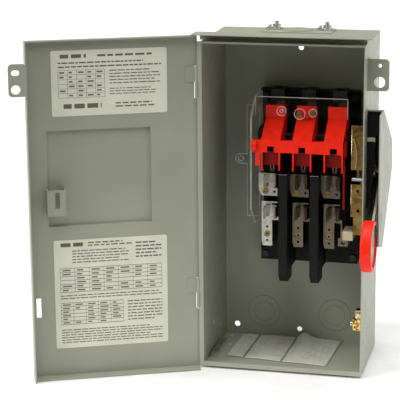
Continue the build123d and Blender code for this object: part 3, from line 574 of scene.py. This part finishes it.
def painted_highlights_and_grooves():
    """Painted highlights along the shield's cut edges, the barriers' top front edges and the plates' left
    edges, and the knockouts' grooves.
    """
    screws_low, screws_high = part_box("shield_screws")
    shelf = screws_low.z - 3.0 * MM
    long_edge = 20 * MM

    def cut(first, second):
        """Any edge but a long level one at the front, at the height of the shield's screws."""
        on_front = first.z > shelf and second.z > shelf and first.y < screws_high.y
        long_and_level = near(first.z, second.z) and abs(first.x - second.x) > long_edge
        return not (on_front and long_and_level and first.z < screws_high.z)

    edge_beads("shield_edges", "line_shield", cut, 0.26 * MM, PAINTED_GLOW_EDGE)
    low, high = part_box("phase_barriers")
    edge_beads("barrier_edges", "phase_barriers",
               lambda *ends: all(near(spot.y, low.y) and near(spot.z, high.z) for spot in ends),
               0.35 * MM, BARRIER_PAINTED_HIGHLIGHT)
    plates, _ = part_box("mechanism_frame")
    edge_beads("mechanism_edges", "mechanism_frame",
               lambda first, second: near(first.x, plates.x) and near(second.x, plates.x),
               0.45 * MM, ZINC_AND_PAINTED_HIGHLIGHT)
    slugs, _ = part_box("knockout_slugs")
    edge_beads("knockout_grooves", "knockout_slugs",
               lambda first, second: near(first.y, slugs.y, 0.1) and near(second.y, slugs.y, 0.1),
               0.22 * MM, GROOVE)


# ---------------------------------------------------------------- marks on the sheet metal
def dome(name, centre, normal, radius, rise, finish):
    """A shallow domed mark on a flat wall, let in a little so that it has no gap behind it."""
    around, rings = 24, 5
    sunk = 0.05 * MM
    first = normal.orthogonal().normalized()
    second = normal.cross(first)
    points = [centre + normal * rise]
    for ring in range(1, rings + 1):
        share = ring / rings
        for turn in range(around):
            angle = 2 * math.pi * turn / around
            flat = (first * math.cos(angle) + second * math.sin(angle)) * radius * share
            points.append(centre + flat + normal * (rise * (1 - share ** 2) - sunk))
    faces = [(0, 1 + turn, 1 + (turn + 1) % around) for turn in range(around)]
    for ring in range(rings - 1):
        start = 1 + ring * around
        for turn in range(around):
            beside = (turn + 1) % around
            faces.append((start + turn, start + around + turn, start + around + beside, start + beside))
    faces.append(tuple(reversed(range(1 + (rings - 1) * around, 1 + rings * around))))
    piece(name, points, faces, "box", (finish,))


def weld_marks_and_light_spots():
    """Spot-weld marks inside the left wall beside each hinge, and pale spots of painted light low on the wall
    and the floor.
    """
    low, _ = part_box("enclosure_shell")
    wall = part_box("bottom_wall")[0].x
    sheet = 1.5 * MM
    ground = low.z + sheet
    inward, upward = Vector((1, 0, 0)), Vector((0, 0, 1))
    rise, pitch, from_front = 0.4 * MM, 14, 12 * MM
    hinge_heights = (380, 100)
    wall_spots = ((-80.5, 41.7), (-40.4, 27.0), (-12.0, 17.5))
    floor_spots = ((-93.5, -13.0), (-88.0, -50.0))
    for height in hinge_heights:
        for step in (-pitch, 0, pitch):
            centre = Vector((wall, low.y + from_front, low.z + (height + step) * MM))
            dome(f"weld_mark_{height}_{step + pitch}", centre, inward, 2.3 * MM, rise, GREY)
    for number, (depth, height) in enumerate(wall_spots, 1):
        centre = Vector((wall, depth * MM, low.z + height * MM))
        dome(f"wall_spot_{number}", centre, inward, 3.2 * MM, rise, PAINTED_LIGHT_SPOT)
    for number, (across, depth) in enumerate(floor_spots, 1):
        centre = Vector((across * MM, depth * MM, ground))
        dome(f"floor_spot_{number}", centre, upward, 3.4 * MM, rise, PAINTED_LIGHT_SPOT)


def knockout_rings():
    """The inner groove of each knockout in the back wall, as a fine dark line."""
    low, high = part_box("knockout_slugs")
    outer = (high.z - low.z) / 2
    inner = 14.1 * MM
    around = 48
    curve = wire("knockout_rings", 0.2 * MM, 1)
    for middle in (low.x + outer, high.x - outer):
        spline = curve.splines.new("POLY")
        spline.points.add(around - 1)
        spline.use_cyclic_u = True
        for turn, point in enumerate(spline.points):
            angle = 2 * math.pi * turn / around
            point.co = (middle + inner * math.cos(angle), low.y, low.z + outer + inner * math.sin(angle), 1)
    made = link_wire("knockout_rings", curve, GROOVE)
    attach(made, "box")


def guard_band():
    """A pale card band across the dark plate behind the handle."""
    low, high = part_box("handle_label_plate")
    front, back_face = low.y - 0.25 * MM, low.y - 0.02 * MM
    bottom = low.z + 0.715 * (high.z - low.z)
    top = bottom + 5.2 * MM
    bend = 0.6 * MM
    left, right = low.x + 0.5 * MM, low.x + 10.6 * MM
    steps = 12
    points = []
    for depth in (front, back_face):
        for step in range(steps + 1):
            share = step / steps
            lift = bend * math.sin(math.pi * share)
            points += [(left + (right - left) * share, depth, bottom + lift),
                       (left + (right - left) * share, depth, top + lift)]
    back = 2 * (steps + 1)
    faces = []
    for step in range(steps):
        at = 2 * step
        faces += [(at, at + 2, at + 3, at + 1), (back + at, back + at + 1, back + at + 3, back + at + 2),
                  (at, back + at, back + at + 2, at + 2), (at + 1, at + 3, back + at + 3, back + at + 1)]
    end = 2 * steps
    faces += [(0, 1, back + 1, back), (end, back + end, back + end + 1, end + 1)]
    piece("guard_band", points, faces, "box", (BAND,))


# ---------------------------------------------------------------- the studio
# Each sun's name, the way towards it, its strength and its width in degrees.
suns = (
    ("key", (0.92, 0.12, 0.38), 0.75, 25),
    ("top", (0.1, 0.1, 1.0), 2.1, 50),
    ("front", (0.05, -0.47, 0.88), 0.9, 30),
    ("left", (-0.7, -0.5, 0.5), 2.2, 35),
    ("right", (0.75, -0.45, 0.5), 0.2, 35))


def studio():
    """A pale floor that darkens well in front of the box, a dim white surround, and five wide suns."""
    floor_height = cad_low.z - 0.5 * MM
    reach = 30.0
    mesh = bpy.data.meshes.new("floor")
    mesh.from_pydata([(-reach, -reach, floor_height), (reach, -reach, floor_height),
                      (reach, reach, floor_height), (-reach, reach, floor_height)], [], [(0, 1, 2, 3)])
    pale = card("studio_floor", (0.90, 0.90, 0.89))
    dim_beyond(pale, "Y", -420, -950, (0.11, 0.11, 0.11))
    mesh.materials.append(pale)
    floor = bpy.data.objects.new("floor", mesh)
    bpy.context.scene.collection.objects.link(floor)
    world = bpy.data.worlds.new("studio")
    world.use_nodes = True
    background = world.node_tree.nodes["Background"]
    background.inputs["Color"].default_value = (1.0, 1.0, 1.0, 1)
    background.inputs["Strength"].default_value = 0.08
    bpy.context.scene.world = world
    for name, toward, strength, softness in suns:
        light = bpy.data.lights.new(name, "SUN")
        light.energy = strength
        light.angle = math.radians(softness)
        lamp = bpy.data.objects.new(name, light)
        lamp.rotation_euler = Vector(toward).to_track_quat("Z", "Y").to_euler()
        bpy.context.scene.collection.objects.link(lamp)
    bpy.context.scene.view_settings.view_transform = "Standard"


def aim_camera():
    """A long lens, turned to the left and tipped down, a little over two metres from the box."""
    camera = bpy.data.objects.new("camera", bpy.data.cameras.new("camera"))
    camera.data.sensor_width = 36.0
    camera.data.lens = 148.5
    yaw, pitch, roll = (math.radians(angle) for angle in (13.756, 14.002, -0.528))
    aimed = Matrix.Rotation(yaw, 4, "Z") @ Matrix.Rotation(math.pi / 2 - pitch, 4, "X")
    turned = aimed @ Matrix.Rotation(roll, 4, "Z")
    stand = Matrix.Translation((0.38493, -2.14768, 0.53161))
    camera.matrix_world = stand @ turned
    bpy.context.scene.collection.objects.link(camera)
    bpy.context.scene.camera = camera


dress_frame()
label("door_label_upper", upper_layout, 11)
label("door_label_lower", lower_layout, 23)
leaflet()
toggle_coil()
painted_highlights_and_grooves()
weld_marks_and_light_spots()
knockout_rings()
guard_band()
studio()
aim_camera()
